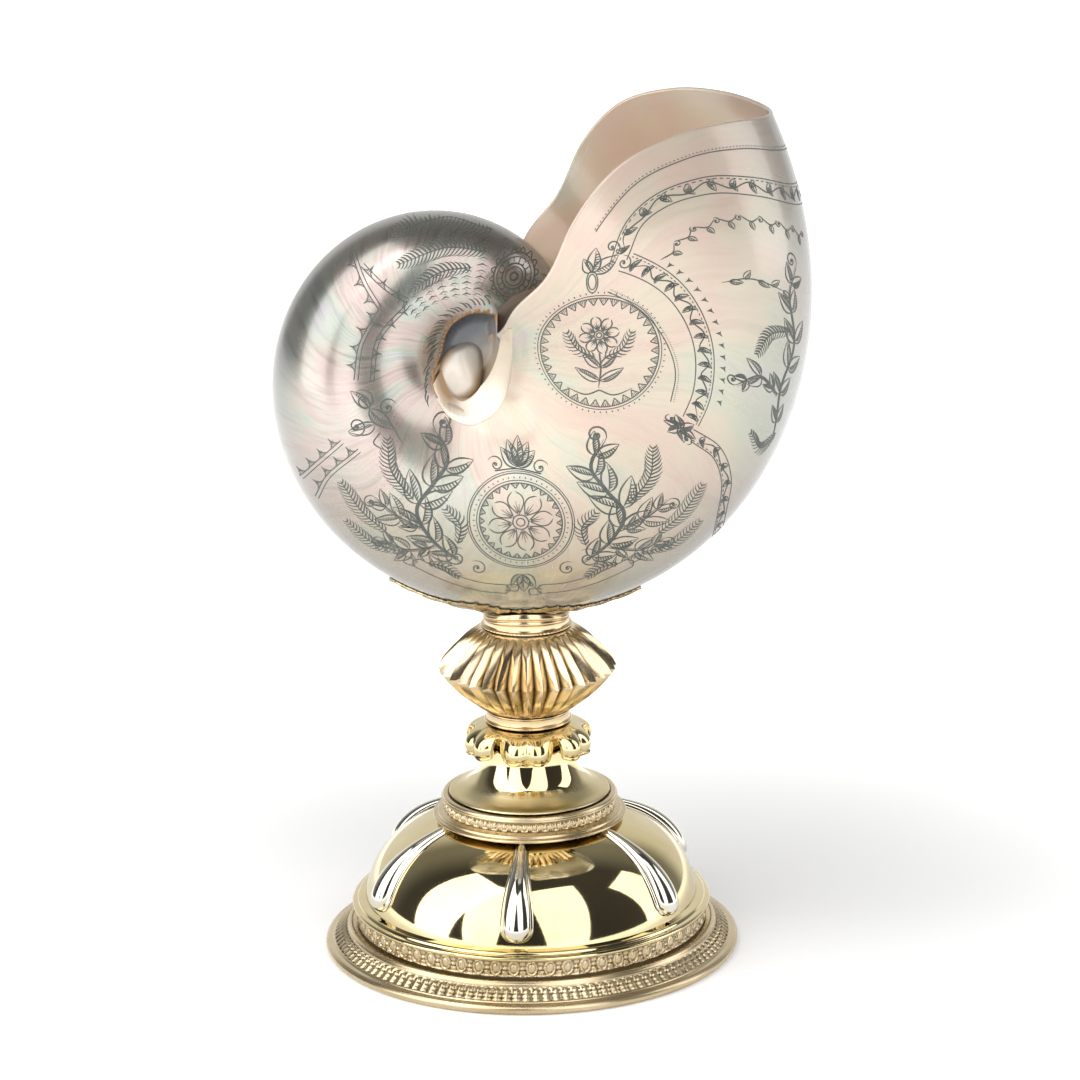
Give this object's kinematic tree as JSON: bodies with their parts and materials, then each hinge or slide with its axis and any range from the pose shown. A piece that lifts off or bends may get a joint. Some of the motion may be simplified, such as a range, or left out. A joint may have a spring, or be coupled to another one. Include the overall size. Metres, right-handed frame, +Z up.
{
  "type": "engraved nautilus shell on a stand",
  "caption": "Whole mother-of-pearl nautilus shell, engraved with ornament, mouth up on a tall gilt stand with a domed foot, lobes, petal collar and fluted knop.",
  "frame": {"origin": "on the surface the foot stands on, under the middle of the whole object's box; the stand's own axis is 5.34 mm from it towards the coil", "axes": "+Z up; +X towards the shell's outer lip, so the coil points to -X; the picture looks along +Y"},
  "size_m": [0.1532, 0.1204, 0.247],
  "materials": {
    "pearl": "polished mother-of-pearl with dark engraved lines",
    "gilt_polished": "mirror-polished silver gilt",
    "gilt_satin": "satin silver gilt",
    "gilt_stamped": "stamped, matted silver gilt with dark recesses",
    "gilt_worn": "thin silver gilt, darkened at the edges",
    "silver": "polished silver, gilding worn off",
    "steel": "dull steel"
  },
  "bodies": {
    "root": {"nautilus_shell": "pearl", "calyx_plate": "gilt_worn", "foot_flange": "gilt_stamped", "oval_band": "gilt_stamped", "foot_dome": "gilt_polished", "foot_lobe_1": "silver", "foot_lobe_2": "silver", "foot_lobe_3": "silver", "foot_lobe_4": "silver", "foot_lobe_5": "silver", "foot_lobe_6": "silver", "collar_disc": "gilt_stamped", "stem_spool": "gilt_polished", "petal_collar": "gilt_polished", "stem_ring": "gilt_satin", "knop": "gilt_satin", "neck_ring": "gilt_satin", "tie_rod": "steel", "tie_nut": "steel"}
  },
  "joints": []
}
